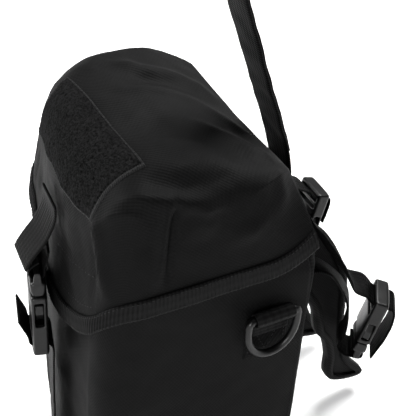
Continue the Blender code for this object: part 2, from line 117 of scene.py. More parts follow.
def turn_outward(mesh, face, out):
    """Flips the whole mesh if one of its faces looks away from the given direction."""
    if mesh.polygons[face].normal.dot(Vector(out)) < 0:
        mesh.flip_normals()


def ahead_at(line, i):
    """The direction in which a line runs at one of its points."""
    return Vector(line[min(i + 1, len(line) - 1)] - line[max(i - 1, 0)]).normalized()


def surface_of(mesh):
    """A search tree of a mesh, in millimetres."""
    faces = [tuple(p.vertices) for p in mesh.polygons]
    return BVHTree.FromPolygons([v.co / MM for v in mesh.vertices], faces)


# Camera and light

# The camera's heading, pitch and roll, its lens in millimetres, and its place from the near D-ring in metres
HEADING, PITCH, ROLL = math.radians(59.0), math.radians(36.1), math.radians(4.2)
LENS, BEHIND, BESIDE, ABOVE = 86.5, 0.571, 0.0366, 0.0714
NEAR_RING = Vector((0.067, 0.036, 0.130))


def make_camera():
    """The viewpoint is above the near end, looking down along the bag towards its far front."""
    flat = math.cos(PITCH)
    ahead = Vector((-math.sin(HEADING) * flat, math.cos(HEADING) * flat, -math.sin(PITCH)))
    level = Vector((math.cos(HEADING), math.sin(HEADING), 0.0))
    right = math.cos(ROLL) * level + math.sin(ROLL) * level.cross(ahead)
    up = right.cross(ahead)
    data = bpy.data.cameras.new("photo_camera")
    data.lens = LENS
    data.clip_start = 0.01
    cam = bpy.data.objects.new("photo_camera", data)
    spot = NEAR_RING - ahead * BEHIND - right * BESIDE + up * ABOVE
    cam.matrix_world = Matrix.Translation(spot) @ Matrix((right, up, -ahead)).transposed().to_4x4()
    bpy.context.scene.collection.objects.link(cam)
    bpy.context.scene.camera = cam


def area_light(name, place, target, size, power):
    data = bpy.data.lights.new(name, "AREA")
    data.energy = power
    data.size = size
    lamp = bpy.data.objects.new(name, data)
    lamp.location = place
    lamp.rotation_euler = (Vector(target) - Vector(place)).to_track_quat("-Z", "Y").to_euler()
    bpy.context.scene.collection.objects.link(lamp)


def make_light():
    world = bpy.data.worlds.new("studio")
    bpy.context.scene.world = world
    world.use_nodes = True
    tree = world.node_tree
    back = set_inputs(tree.nodes["Background"], Color=(1.0, 1.0, 1.0, 1.0))
    # Pale at the horizon, as a studio wall is, and dim above it.
    coords = tree.nodes.new("ShaderNodeTexCoord")
    height = tree.nodes.new("ShaderNodeSeparateXYZ")
    tree.links.new(coords.outputs["Generated"], height.inputs[0])
    tree.links.new(map_range(tree, height.outputs["Z"], 0.8, 0.06, 0.06, 0.3), back.inputs["Strength"])
    bpy.context.scene.view_settings.view_transform = "Standard"
    middle = (0.0, 0.0, 0.15)
    area_light("key", (-0.75, -0.75, 0.75), middle, 0.35, 14.0)
    area_light("top", (-0.35, 0.55, 1.05), middle, 0.45, 17.5)
    area_light("end_fill", (0.9, -0.75, 0.55), middle, 0.4, 9.0)


# Materials

WAVE_SCALE = 0.31416   # a tenth of pi, at which Blender's wave has one band for each unit of length


class Finish:
    """A small helper for building one procedural material."""

    def __init__(self, name, color, roughness, specular=0.35):
        self.mat = bpy.data.materials.new(name)
        self.mat.use_nodes = True
        self.tree = self.mat.node_tree
        self.shader = self.tree.nodes["Principled BSDF"]
        set_inputs(self.shader, Base_Color=(*color, 1.0), Roughness=roughness, Specular_IOR_Level=specular)
        self.coords = self.tree.nodes.new("ShaderNodeTexCoord")

    def node(self, kind, **values):
        made = self.tree.nodes.new(kind)
        for key, value in values.items():
            setattr(made, key, value)
        return made

    def link(self, source, target):
        self.tree.links.new(source, target)

    def wave(self, pitch, angle, distortion=0.0):
        """Bands across the surface, one every pitch metres, turned by an angle."""
        place = set_inputs(self.node("ShaderNodeMapping"), Rotation=(0.0, 0.0, math.radians(angle)),
                           Scale=(1.0 / pitch,) * 3)
        self.link(self.coords.outputs["UV"], place.inputs["Vector"])
        wave = self.node("ShaderNodeTexWave")
        set_inputs(wave, Scale=WAVE_SCALE, Distortion=distortion, Detail_Scale=0.6)
        self.link(place.outputs["Vector"], wave.inputs["Vector"])
        return wave.outputs["Fac"]

    def noise(self, scale, detail=2.0):
        made = set_inputs(self.node("ShaderNodeTexNoise"), Scale=scale, Detail=detail)
        self.link(self.coords.outputs["Object"], made.inputs["Vector"])
        return made.outputs["Fac"]

    def math(self, operation, a, b):
        made = self.node("ShaderNodeMath", operation=operation)
        for slot, value in ((0, a), (1, b)):
            if isinstance(value, (int, float)):
                made.inputs[slot].default_value = value
            else:
                self.link(value, made.inputs[slot])
        return made.outputs[0]

    def total(self, *parts):
        """The sum of some values, each with its weight."""
        values = [self.math("MULTIPLY", value, weight) for value, weight in parts]
        whole = values[0]
        for value in values[1:]:
            whole = self.math("ADD", whole, value)
        return whole

    def ramp(self, fac, low, high, start=0.3, end=0.7):
        made = self.node("ShaderNodeValToRGB")
        made.color_ramp.elements[0].position = start
        made.color_ramp.elements[0].color = (*low, 1.0)
        made.color_ramp.elements[1].position = end
        made.color_ramp.elements[1].color = (*high, 1.0)
        self.link(fac, made.inputs["Fac"])
        return made.outputs["Color"]

    def color(self, output):
        self.link(output, self.shader.inputs["Base Color"])

    def rough(self, fac, low, high):
        self.link(map_range(self.tree, fac, low, high), self.shader.inputs["Roughness"])

    def bump(self, height, distance, strength=1.0):
        made = set_inputs(self.node("ShaderNodeBump"), Strength=strength, Distance=distance)
        self.link(height, made.inputs["Height"])
        self.link(made.outputs["Normal"], self.shader.inputs["Normal"])

    def sheen(self, weight, roughness=0.5):
        set_inputs(self.shader, Sheen_Weight=weight, Sheen_Roughness=roughness)


def grey(value):
    return (value, value, value * 1.01)


def nylon_finish(name, base, pitch=0.0016):
    f = Finish(name, grey(base), 0.62, 0.05)
    twill = f.wave(pitch, 35.0, distortion=0.4)
    cross = f.wave(pitch * 1.25, -50.0, distortion=0.4)
    weave = f.total((twill, 0.65), (cross, 0.35))
    cloud = f.noise(38.0, 4.0)
    grain = f.noise(2600.0, 2.0)
    tone = f.total((weave, 0.55), (cloud, 0.3), (grain, 0.25))
    f.color(f.ramp(tone, grey(base * 0.6), grey(base * 1.5), 0.25, 0.85))
    f.rough(cloud, 0.55, 0.72)
    f.bump(f.total((weave, 1.0), (grain, 0.5)), 0.0002, 0.6)
    f.sheen(0.008, 0.35)
    return f.mat


def webbing_finish(name, base, pitch=0.0016, along=0.0031, specular=0.06):
    f = Finish(name, grey(base), 0.6, specular)
    ribs = f.wave(pitch, 90.0)
    lines = f.wave(along, 0.0)
    weave = f.total((ribs, 0.6), (lines, 0.4))
    grain = f.noise(1800.0, 2.0)
    f.color(f.ramp(f.total((weave, 0.6), (grain, 0.4)), grey(base * 0.5), grey(base * 1.6), 0.25, 0.8))
    f.rough(grain, 0.5, 0.7)
    f.bump(weave, 0.00035, 0.7)
    f.sheen(specular * 0.13, 0.35)
    return f.mat


def pile_finish(name, base):
    f = Finish(name, grey(base), 0.95, 0.03)
    fuzz = f.noise(1500.0, 3.0)
    clump = f.noise(700.0, 3.0)
    tone = f.total((fuzz, 0.55), (clump, 0.45))
    f.color(f.ramp(tone, grey(base * 0.15), grey(base * 3.2), 0.4, 0.62))
    f.rough(fuzz, 0.85, 1.0)
    f.bump(tone, 0.0006, 0.8)
    f.sheen(0.01, 0.4)
    return f.mat


def plastic_finish(name, base):
    f = Finish(name, grey(base), 0.4, 0.3)
    fine = f.noise(2200.0, 3.0)
    scuff = f.noise(120.0, 5.0)
    f.color(f.ramp(scuff, grey(base * 0.8), grey(base * 1.35), 0.35, 0.75))
    f.rough(scuff, 0.24, 0.4)
    f.bump(fine, 0.00008, 0.5)
    return f.mat


def thread_finish(name, base):
    f = Finish(name, grey(base), 0.6, 0.3)
    twist = f.noise(3000.0, 2.0)
    f.color(f.ramp(twist, grey(base * 0.6), grey(base * 1.5)))
    f.rough(twist, 0.5, 0.7)
    return f.mat


def floor_finish():
    f = Finish("studio_floor", (0.9, 0.9, 0.9), 0.8, 0.2)
    cloud = f.noise(3.0, 2.0)
    f.color(f.ramp(cloud, (0.88, 0.88, 0.88), (0.92, 0.92, 0.92)))
    f.rough(cloud, 0.75, 0.9)
    # Painted light: the floor glows, a little near the object, which lightens the shadow the object casts on
    # it, and more where the lamps no longer reach it.
    reach = f.node("ShaderNodeVectorMath", operation="LENGTH")
    f.link(f.coords.outputs["Object"], reach.inputs[0])
    glow = map_range(f.tree, reach.outputs["Value"], 0.3, 0.85, 0.6, 2.2)
    f.link(glow, set_inputs(f.shader, Emission_Color=(1.0, 1.0, 1.0, 1.0)).inputs["Emission Strength"])
    return f.mat


NYLON = nylon_finish("nylon_twill", 0.0040)
LINING = nylon_finish("nylon_lining", 0.005, 0.0012)
PATCH = nylon_finish("ring_patch_weave", 0.0012, 0.0024)
WEBBING = webbing_finish("strap_webbing", 0.0024)
SIDE_WEBBING = webbing_finish("side_strap_webbing", 0.0012, specular=0.025)
RIBBED = webbing_finish("ribbed_webbing", 0.0055, 0.0023, 0.005)
TAPE_MAT = webbing_finish("edge_tape", 0.0052, 0.0023, 0.0046)
PILE = pile_finish("loop_pile", 0.0040)
SELVEDGE = webbing_finish("panel_selvedge", 0.020, 0.0012, 0.004)
PLASTIC = plastic_finish("moulded_plastic", 0.0035)
THREAD = thread_finish("sewing_thread", 0.0036)


# Mesh helpers

def finish_piece(obj, body, slot, *replaced):
    """Says which body a piece rides on and what it replaces. The slot it is given is not used."""
    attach(obj, body)
    if replaced:
        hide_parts(*replaced)


def shade_smooth(mesh):
    for face in mesh.polygons:
        face.use_smooth = True


def link_mesh(name, mesh, mat):
    mesh.materials.clear()
    mesh.materials.append(mat)
    shade_smooth(mesh)
    obj = bpy.data.objects.new(name, mesh)
    bpy.context.scene.collection.objects.link(obj)
    return obj


def grid_object(name, points, uvs, mat, wrap=False):
    """A smooth surface through rows of points in millimetres, with a map of the cloth in metres."""
    rows, cols = points.shape[:2]
    faces, corners = [], []
    span = cols if wrap else cols - 1
    for r in range(rows - 1):
        for c in range(span):
            d = (c + 1) % cols
            faces.append([a * cols + b for a, b in ((r, c), (r, d), (r + 1, d), (r + 1, c))])
            corners += [(r, c), (r, c + 1), (r + 1, c + 1), (r + 1, c)]
    mesh = bpy.data.meshes.new(name)
    mesh.from_pydata((points.reshape(-1, 3) * MM).tolist(), [], faces)
    layer = mesh.uv_layers.new(name="cloth")
    flat = np.array([uvs[a, b] for a, b in corners], np.float32)
    layer.data.foreach_set("uv", flat.ravel())
    mesh.update()
    return link_mesh(name, mesh, mat)


def apply_modifiers(obj):
    graph = bpy.context.evaluated_depsgraph_get()
    mesh = bpy.data.meshes.new_from_object(obj.evaluated_get(graph))
    obj.modifiers.clear()
    old = obj.data
    obj.data = mesh
    bpy.data.meshes.remove(old)
    shade_smooth(mesh)


def thicken(obj, thickness, offset=-1.0):
    mod = obj.modifiers.new("wall", "SOLIDIFY")
    mod.thickness = thickness * MM
    mod.offset = offset
    mod.use_even_offset = False
    apply_modifiers(obj)


def normals_of(points, wrap=False):
    """Unit normals of a grid of points."""
    across = np.roll(points, -1, 1) - np.roll(points, 1, 1) if wrap else np.gradient(points, axis=1)
    normal = np.cross(across, np.gradient(points, axis=0))
    return normal / np.maximum(np.linalg.norm(normal, axis=2, keepdims=True), 1e-9)


def lengths(points, axis):
    """Distance travelled along a grid in one direction, in metres."""
    step = np.linalg.norm(np.diff(points, axis=axis), axis=2)
    pad = [(0, 0), (0, 0)]
    pad[axis] = (1, 0)
    return np.cumsum(np.pad(step, pad), axis=axis) * MM


def map_along(points, travel):
    """A map of cloth made of rows: the length across each row, and each row's travel, in metres."""
    return np.stack([lengths(points, 1), np.repeat((travel * MM)[:, None], points.shape[1], 1)], axis=2)


def map_closed(points, travel):
    """The same map for rows that close on themselves."""
    return map_along(np.concatenate([points, points[:, :1]], axis=1), travel)


def ripple(point, scale, seed=0.0):
    return noise.noise(Vector((point[0] / scale + seed, point[1] / scale, point[2] / scale)))


def polyline_distance(points, line):
    """Distance from each point to a polyline, and how far along it from 0 to 1."""
    best = np.full(points.shape[:2], 1e9)
    where = np.zeros(points.shape[:2])
    line = np.array(line, float)
    total = len(line) - 1
    for k in range(total):
        a, d = line[k], line[k + 1] - line[k]
        t = np.clip(((points - a) @ d) / (d @ d), 0.0, 1.0)
        gap = np.linalg.norm(points - (a + t[..., None] * d), axis=2)
        closer = gap < best
        best[closer] = gap[closer]
        where[closer] = ((k + t) / total)[closer]
    return best, where


def smooth_line(points, step):
    """A Catmull-Rom curve through points, sampled evenly, with each sample's place and its travel."""
    pts = [Vector(p) for p in points]
    pts = [pts[0] * 2 - pts[1]] + pts + [pts[-1] * 2 - pts[-2]]
    dense, place = [], []
    for i in range(1, len(pts) - 2):
        p0, p1, p2, p3 = pts[i - 1:i + 3]
        for k in range(24):
            t = k / 24.0
            dense.append(0.5 * (2 * p1 + (p2 - p0) * t + (2 * p0 - 5 * p1 + 4 * p2 - p3) * t * t
                                + (3 * p1 - p0 - 3 * p2 + p3) * t ** 3))
            place.append(i - 1 + t)
    dense.append(pts[-2])
    place.append(float(len(points) - 1))
    dense = np.array([tuple(p) for p in dense])
    travel = travel_along(dense)
    count = max(3, int(travel[-1] / step) + 1)
    want = np.linspace(0.0, travel[-1], count)
    return points_at(want, travel, dense), np.interp(want, travel, place), want


# Stitches: each is a short lens of thread lying on the cloth

def stitches(name, body, lines, length=2.1, gap=1.0, radius=0.28, slot="webbing"):
    """Rows of stitching. Each line is a list of (point, outward direction) pairs in millimetres."""
    verts, faces = [], []
    for line in lines:
        pts = np.array([tuple(p) for p, _ in line], float)
        ups = np.array([tuple(n) for _, n in line], float)
        travel = travel_along(pts)
        start = gap / 2
        while start + length < travel[-1]:
            ends = []
            for s in (start, start + length / 2, start + length):
                p = Vector([np.interp(s, travel, pts[:, k]) for k in range(3)])
                n = Vector([np.interp(s, travel, ups[:, k]) for k in range(3)]).normalized()
                ends.append((p, n))
            (a, na), (_, nm), (b, nb) = ends
            ahead = (b - a).normalized()
            side = ahead.cross(nm).normalized()
            base = len(verts)
            verts.append(a - na * 0.1)
            for share in (0.25, 0.75):
                mid = a.lerp(b, share)
                for k in range(5):
                    w = math.pi * k / 4
                    verts.append(mid + side * math.cos(w) * radius + nm * (math.sin(w) * radius * 1.1 - 0.05))
            verts.append(b - nb * 0.1)
            ring1, ring2, tip = base + 1, base + 6, base + 11
            for k in range(5):
                j = (k + 1) % 5
                faces.append((base, ring1 + j, ring1 + k))
                faces.append((ring1 + k, ring1 + j, ring2 + j, ring2 + k))
                faces.append((tip, ring2 + k, ring2 + j))
            start += length + gap
    mesh = bpy.data.meshes.new(name)
    mesh.from_pydata([tuple(v * MM) for v in verts], [], faces)
    rework(mesh, face_outward)
    finish_piece(link_mesh(name, mesh, THREAD), body, slot)


# Plan outlines

FALL_START_X = 30.0                  # where the front starts to fall back
PINCH_START_Y, PINCH_LENGTH = 8.0, 36.0   # where the ends start to draw in towards the back


def front_y(x, half, near_y):
    """Front face in plan: it falls back gradually towards the emptier far corner."""
    return near_y + FAR_SLOPE * (max(0.0, FALL_START_X - x) / (half + FALL_START_X)) ** 2


def end_x(y, half, inset):
    return half - inset * (max(0.0, y - PINCH_START_Y) / PINCH_LENGTH) ** 2


def plan_outline(half, corner_y, back_y, radius, insets=(0.0, 0.0)):
    """Open outline from the near back corner round the front to the far back corner."""
    ends, corner, front = 60, 18, 84   # how many points along each end, round each corner and along the front
    near_y = front_y(half - radius, half, corner_y) + radius
    far_y = front_y(radius - half, half, corner_y) + radius
    pts = []
    for i in range(ends):
        y = back_y + (near_y - back_y) * i / ends
        pts.append((end_x(y, half, insets[0]), y))
    for i in range(corner):
        a = math.pi / 2 * i / corner
        pts.append((half - radius + radius * math.cos(a), near_y - radius * math.sin(a)))
    for i in range(front + 1):
        x = (half - radius) * (1.0 - 2.0 * i / front)
        pts.append((x, front_y(x, half, corner_y)))
    for i in range(1, corner + 1):
        a = math.pi / 2 * (1.0 - i / corner)
        pts.append((-(half - radius + radius * math.cos(a)), far_y - radius * math.sin(a)))
    for i in range(1, ends + 1):
        y = far_y + (back_y - far_y) * i / ends
        pts.append((-end_x(y, half, insets[1]), y))
    return pts


# Lid

MIDDLE = 20.0                      # the far half's shape turns into the near half's within this of the middle
BEND_NEAR, BEND_FAR = 0.62, 0.66   # the share of the depth, from the hinge, at which the front bends down
SQUARENESS = 2.4                   # how square the bend is: 2 is round, more is squarer
EDGE_Z, EDGE_DIP, EDGE_RISE = 180.0, 38.0, 12.0


def lid_height(x, y):
    """Height of the lid's cloth, from the hinge over the crown to its front and end folds."""
    u = clamp((HINGE_Y - y) / (HINGE_Y - front_y(x, LID_HALF, LID_FRONT_Y)))
    e = min(1.0, abs(x) / LID_HALF)
    near = clamp((x + MIDDLE) / (2.0 * MIDDLE))
    near = near * near * (3.0 - 2.0 * near)
    bend = (BEND_FAR - 0.2 * e ** 6) * (1.0 - near) + BEND_NEAR * near
    v = clamp((u - bend) / (1.0 - bend))
    end = NEAR_FOLD_Z * near + FAR_FOLD_Z * (1.0 - near)
    crown = end + (CROWN_Z - end) * math.sqrt(1.0 - e ** 6)
    low = FRONT_FOLD_Z + (45.0 * near - 25.0) * e ** 4
    top = low + (crown - low) * (1.0 - v ** SQUARENESS) ** (1.0 / SQUARENESS)
    hinge = HINGE_Z + (7.0 - 9.0 * near) * e
    if u < bend:
        return top - (top - hinge) * (1.0 - u / bend) ** 2
    return top


def lid_edge_z(x, y):
    """Height of the lid's lower edge, which dips at the middle of the front and rises towards the back."""
    depth = clamp((y - LID_FRONT_Y + 3.0) / 40.0)
    dip = EDGE_DIP * (1.0 - min(1.0, abs(x) / (LID_HALF + LID_FLARE)) ** 2.2) * (1.0 - depth) ** 2
    rise = EDGE_RISE * max(0.0, (y - 24.0) / 30.0) ** 2
    return EDGE_Z - dip + rise


FOLD = np.array(plan_outline(LID_HALF, LID_FRONT_Y, HINGE_Y, CORNER_R, (18.0, 12.0)))
EDGE = np.array(plan_outline(LID_HALF + LID_FLARE, LID_FRONT_Y - 4.5, HINGE_Y + 10.0, CORNER_R + 1.0))
FOLD_HEIGHTS = np.array([lid_height(x, y) for x, y in FOLD])
EDGE_HEIGHTS = np.array([lid_edge_z(x, y) for x, y in EDGE])


def outward_normals():
    step = np.gradient(EDGE, axis=0)
    step /= np.linalg.norm(step, axis=1, keepdims=True)
    return np.stack([-step[:, 1], step[:, 0], np.zeros(len(step))], axis=1)


OUT = outward_normals()


def skirt(t):
    """Points of the lid's side all round, a share t of the way down from its fold."""
    ease = np.sin(t * np.pi / 2)
    x = FOLD[:, 0] + (EDGE[:, 0] - FOLD[:, 0]) * ease
    y = FOLD[:, 1] + (EDGE[:, 1] - FOLD[:, 1]) * t
    z = FOLD_HEIGHTS + (EDGE_HEIGHTS - FOLD_HEIGHTS) * t
    return np.stack([x, y, z], axis=1)


TAPE_TOP = 1.0 - TAPE / (FOLD_HEIGHTS - EDGE_HEIGHTS)   # where the tape starts, as a share of the skirt

# Folds of the lid: its line, ridge height, and half width on each side, in millimetres
CREASES = (
    (((50, -64, 234), (55, -67, 222), (59, -67, 209), (64, -66, 196), (68, -65, 186)), 3.0, 4.2),
    (((50, -67, 216), (53, -68, 202), (54, -69, 190), (55, -70, 178)), -2.0, 3.6),
    (((58, -56, 243), (64, -46, 245), (66, -38, 244), (68, -30, 242), (69, -18, 238), (70, -4, 234)),
     3.4, 4.4),
    (((56, -44, 249), (61, -34, 249), (63, -22, 247), (63, -8, 245), (60, 8, 242)), -2.6, 7.0),
    (((68, -36, 243), (71, -39, 229), (72, -41, 212), (73, -43, 194)), 2.9, 3.2),
    (((69, -31, 243), (71, -33, 229), (72, -35, 212), (73, -36, 194)), -3.6, 1.9),
    (((71, -24, 234), (72, -12, 224), (73, 4, 216), (73, 20, 212)), 1.8, 7.0),
    (((-52, -10, 254), (-42, 2, 253), (-36, 16, 249), (-26, 32, 242), (-12, 43, 236)), 2.4, 5.5),
    (((-20, -16, 254), (-13, 4, 250), (-6, 18, 247), (8, 30, 241), (26, 38, 236), (44, 42, 233)), 3.2, 5.0),
    (((-34, -8, 254), (-26, 10, 250), (-16, 25, 244), (0, 37, 238)), -2.6, 5.5),
    (((6, -26, 255), (24, -14, 254), (38, 2, 251), (48, 20, 243), (52, 34, 236)), -3.2, 12.0),
    (((14, 2, 252), (26, 16, 248), (38, 28, 241), (50, 36, 235)), 2.0, 5.0),
    (((62, 38, 230), (67, 28, 224), (71, 12, 216), (72, -8, 208)), 1.4, 6.0),
    (((70, -14, 224), (72, 2, 212), (73, 18, 206)), -1.6, 8.0),
    (((-66, -30, 244), (-67, -8, 240), (-66, 18, 236)), 1.4, 6.0),
    (((-70, -10, 236), (-72, -8, 216), (-73, -8, 196)), -1.2, 8.0),
    (((-30, -60, 236), (-34, -60, 214), (-36, -62, 190)), -1.0, 9.0),
    (((24, -66, 214), (30, -68, 196), (26, -70, 176)), 0.9, 8.0),
)


LID_RELIEF = (-4.4, 4.0)   # how far the cloth may leave the plain shape, inward and outward


def lid_relief(points, fade):
    """How far each point of the lid is pushed in or out by folds and slack in the cloth."""
    rise = np.zeros(points.shape[:2])
    for line, height, width in CREASES:
        gap, along = polyline_distance(points, line)
        taper = np.clip(np.minimum(along, 1.0 - along) * 5.0 + 0.25, 0.0, 1.0)
        rise += height * taper * np.exp(-(gap / width) ** 2)
    for r in range(points.shape[0]):
        for c in range(points.shape[1]):
            p = points[r, c]
            rise[r, c] += 1.5 * ripple(p, 34.0) + 0.55 * ripple(p, 12.0, 7.0) + 0.16 * ripple(p, 4.5, 3.0)
    return rise * fade


def make_lid():
    top_rows = np.concatenate([np.linspace(0.004, 0.9, 45), np.linspace(0.915, 1.0, 12)])
    rows, fade = [], []
    for t in top_rows:
        x = FOLD[:, 0] * t
        y = HINGE_Y + (FOLD[:, 1] - HINGE_Y) * t
        rows.append(np.stack([x, y, [lid_height(a, b) for a, b in zip(x, y)]], axis=1))
        fade.append(min(1.0, t * 2.0))
    for k in range(1, 41):
        share = k / 40.0
        rows.append(skirt(TAPE_TOP * share))
        fade.append(1.0 - share ** 4)
    for k in range(1, 6):
        rows.append(skirt(TAPE_TOP + (1.0 - TAPE_TOP) * k / 5.0 * 0.9))
        fade.append(0.0)
    points = np.array(rows)
    # The cloth stays where it is beside the hinge.
    hinge_fade = np.clip((HINGE_Y + 2.0 - points[:, :, 1]) / 14.0, 0.0, 1.0)
    relief = lid_relief(points, np.array(fade)[:, None] * hinge_fade)
    normal = normals_of(points)
    if normal[20, normal.shape[1] // 2, 2] < 0:
        normal = -normal
    points = points + normal * np.clip(relief, *LID_RELIEF)[..., None]
    down = lengths(points, 0)
    uv = np.zeros(points.shape[:2] + (2,))
    tops = len(top_rows)
    radial = FOLD - np.array([0.0, HINGE_Y])
    radial /= np.linalg.norm(radial, axis=1, keepdims=True)
    for r in range(tops):
        uv[r] = radial * down[r][:, None]
    for r in range(tops, len(rows)):
        uv[r] = uv[tops - 1] + OUT[:, :2] * (down[r] - down[tops - 1])[:, None]
    obj = grid_object("lid_cloth", points, uv, NYLON)
    turn_outward(obj.data, points.shape[1] * 30, UP)
    surface = surface_of(obj.data)
    thicken(obj, 1.3)
    finish_piece(obj, "lid", "nylon", "lid_shell")
    return surface


def snap(surface, point, lift=0.0):
    """The nearest place on a surface, lifted off it, with its outward direction."""
    spot, normal, _, _ = surface.find_nearest(Vector(point))
    return spot + normal * lift, normal


def along_surface(surface, points):
    line, _, _ = smooth_line(points, 1.0)
    return [snap(surface, p, 0.05) for p in line]


def make_lid_tape():
    """Ribbed tape folded over the lid's edge."""
    travel = travel_along(skirt(1.0))
    cols = int(travel[-1] / 0.5)
    want = np.linspace(0.0, travel[-1], cols)
    count = np.arange(len(travel))
    index = np.interp(want, travel, count)
    # How far down the band, how far out, for a profile that wraps the edge.
    profile = ((0.0, 0.15), (0.02, 0.75), (0.1, 1.15), (0.3, 1.35), (0.5, 1.4), (0.7, 1.35), (0.9, 1.25),
               (1.0, 0.95), (1.03, 0.2), (1.02, -0.9), (0.96, -1.7), (0.7, -1.9), (0.3, -1.85))
    rows, band = [], []
    for share, out in profile:
        base = skirt(TAPE_TOP + (1.0 - TAPE_TOP) * min(share, 1.0))
        base = base + OUT * (0.5 + out)
        base[:, 2] -= max(0.0, share - 1.0) * 12.0
        rows.append(points_at(index, count, base))
        band.append(share)
    points = np.array(rows)
    lean = points_at(index, count, OUT)
    ribs = 0.24 * np.sin(want * 2.0 * math.pi / 2.3)
    strength = np.array([0.0, 0.4, 1.0, 1.0, 1.0, 1.0, 1.0, 0.7, 0.0, 0.0, 0.0, 0.0, 0.0])
    wander = np.array([0.5 * ripple(p, 22.0, 5.0) for p in points[4]])
    for r in range(len(profile)):
        points[r] += lean * (ribs * strength[r] + wander)[:, None]
    uv = np.zeros(points.shape[:2] + (2,))
    uv[:, :, 0] = (np.array(band) * TAPE * MM)[:, None]
    uv[:, :, 1] = want * MM
    obj = grid_object("lid_edge_tape", points, uv, TAPE_MAT)
    # The middle of the fifth row of faces is on the tape's outer side, at the front.
    turn_outward(obj.data, (cols - 1) * 4 + cols // 2, (0.0, -1.0, 0.0))
    rows_of_thread = [[(points[r, c] + lean[c] * 0.1, lean[c]) for c in range(0, cols, 2)] for r in (2, 6)]
    stitches("lid_tape_stitching", "lid", rows_of_thread, 1.9, 0.9, 0.22)
    finish_piece(obj, "lid", "webbing", "lid_binding")


# The loop panel: half its length, its back edge, its sides measured along the lid, and its woven edge's width
PANEL_HALF, PANEL_BACK_Y, PANEL_DOWN, PANEL_ALONG, PANEL_EDGE = 49.0, -38.0, 66.0, 98.0, 1.6
PANEL_BEND_Y = -28.5   # the lid bends down in front of this place


def panel_point(x, share):
    """A place under the loop panel: share 0 at its back edge, 1 at its lower edge."""
    front = front_y(x, LID_HALF, LID_FRONT_Y)
    start = math.asin(min(1.0, (PANEL_BEND_Y - PANEL_BACK_Y) / (PANEL_BEND_Y - front)))
    angle = start + (math.radians(80.0) - start) * share
    y = PANEL_BEND_Y + (front - PANEL_BEND_Y) * math.sin(angle)
    return (x, y, lid_height(x, y))


def make_loop_panel(surface):
    """Loop pile patch: a backing with a raised fuzzy face inside a flat woven edge."""
    cols, rows = 150, 110
    points = np.zeros((rows, cols, 3))
    for r in range(rows):
        for c in range(cols):
            x = PANEL_HALF * (1.0 - 2.0 * c / (cols - 1))
            a, b = r / (rows - 1), c / (cols - 1)
            spot, normal = snap(surface, panel_point(x, a))
            edge = min(a * PANEL_DOWN, (1.0 - a) * PANEL_DOWN, b * PANEL_ALONG, (1.0 - b) * PANEL_ALONG)
            inside = clamp((edge - PANEL_EDGE) / 0.9)
            fuzz = 0.3 * ripple(spot, 1.1, 2.0) + 0.16 * ripple(spot, 2.3, 9.0)
            lift = 0.75 + inside * (0.75 + fuzz) - (0.7 if edge < 0.05 else 0.0)
            points[r, c] = spot + normal * lift
    uv = np.zeros((rows, cols, 2))
    uv[:, :, 0] = lengths(points, 1)
    uv[:, :, 1] = lengths(points, 0)
    obj = grid_object("loop_panel_pile", points, uv, PILE)
    turn_outward(obj.data, cols * 10, UP)
    obj.data.materials.append(SELVEDGE)
    for i, face in enumerate(obj.data.polygons):
        r, c = divmod(i, cols - 1)
        edge = min(r * 0.6, (rows - 2 - r) * 0.6, c * 0.66, (cols - 2 - c) * 0.66)
        if edge < 1.7:
            face.material_index = 1
    finish_piece(obj, "lid", "loop_pile", "loop_panel")
    inner = []
    for side in range(4):
        line = []
        for t in np.linspace(0.0, 1.0, 90):
            a, b = ((0.017, t), (t, 0.988), (0.983, 1 - t), (1 - t, 0.012))[side]
            line.append(snap(surface, panel_point(PANEL_HALF * (1.0 - 2.0 * b), a), 0.85))
        inner.append(line)
    stitches("loop_panel_stitching", "lid", inner, 1.9, 0.9, 0.2)


def make_lid_seams(surface):
    """The stitches of the near corner's dart, of two rows across the front, and of the far end's seam."""
    lines = [
        along_surface(surface, ((58, -68, 206), (58, -69, 190), (59, -70, 177))),
        along_surface(surface, ((4, -69, 184), (22, -70, 188), (40, -71, 193), (54, -71, 197))),
        along_surface(surface, ((-5, -69, 158), (18, -70, 163), (42, -72, 172), (57, -72, 181))),
        along_surface(surface, ((-70, -20, 238), (-72, -20, 214), (-73, -20, 195))),
    ]
    stitches("lid_seam_stitching", "lid", lines, 2.2, 1.4, 0.24, slot="nylon")


def make_hinge_cloth():
    """The strip of cloth that joins the lid to the back of the bag's mouth."""
    rows, cols = 26, 60
    under, inner_y = 1.1, HINGE_Y - 1.6
    points = np.zeros((rows, cols, 3))
    for r in range(rows):
        t = r / (rows - 1)
        for c in range(cols):
            x = (47.0 + 4.0 * (1.0 - t)) * (1.0 - 2.0 * c / (cols - 1))
            y = inner_y + 2.9 * t + 0.25 * math.sin(x / 5.0) * math.sin(math.pi * t)
            z = lid_height(x, inner_y) - under + (216.0 - HINGE_Z + under) * t
            points[r, c] = (x, y, z)
    uv = np.stack([points[:, :, 0], points[:, :, 2]], axis=2) * MM
    obj = grid_object("hinge_cloth", points, uv, NYLON)
    thicken(obj, 1.0, 0.0)
    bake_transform(obj)


# Body

# Outlines of the body as in the CAD: height, half length, front, back, corner radius, back corners' inset
BODY_RINGS = (
    (0.0, 60.0, -61.0, 51.0, 18.0, 0.0), (3.0, 64.5, -65.5, 55.5, 20.0, 0.0),
    (12.0, 67.0, -68.5, 57.0, 22.0, 0.0), (60.0, 68.0, -69.5, 57.5, 22.0, 0.0),
    (120.0, 68.0, -68.8, 57.5, 22.0, 0.0), (142.0, 67.8, -67.6, 57.5, 22.0, 0.0),
    (170.0, 67.0, -65.8, 57.0, 22.0, 0.0), (182.0, 66.5, -65.0, 55.0, 22.0, 2.0),
    (207.0, 65.0, -62.0, 48.0, 22.0, 10.0), (217.0, 64.5, -60.6, 44.5, 22.0, 17.0))
MOUTH_Z = 216.6


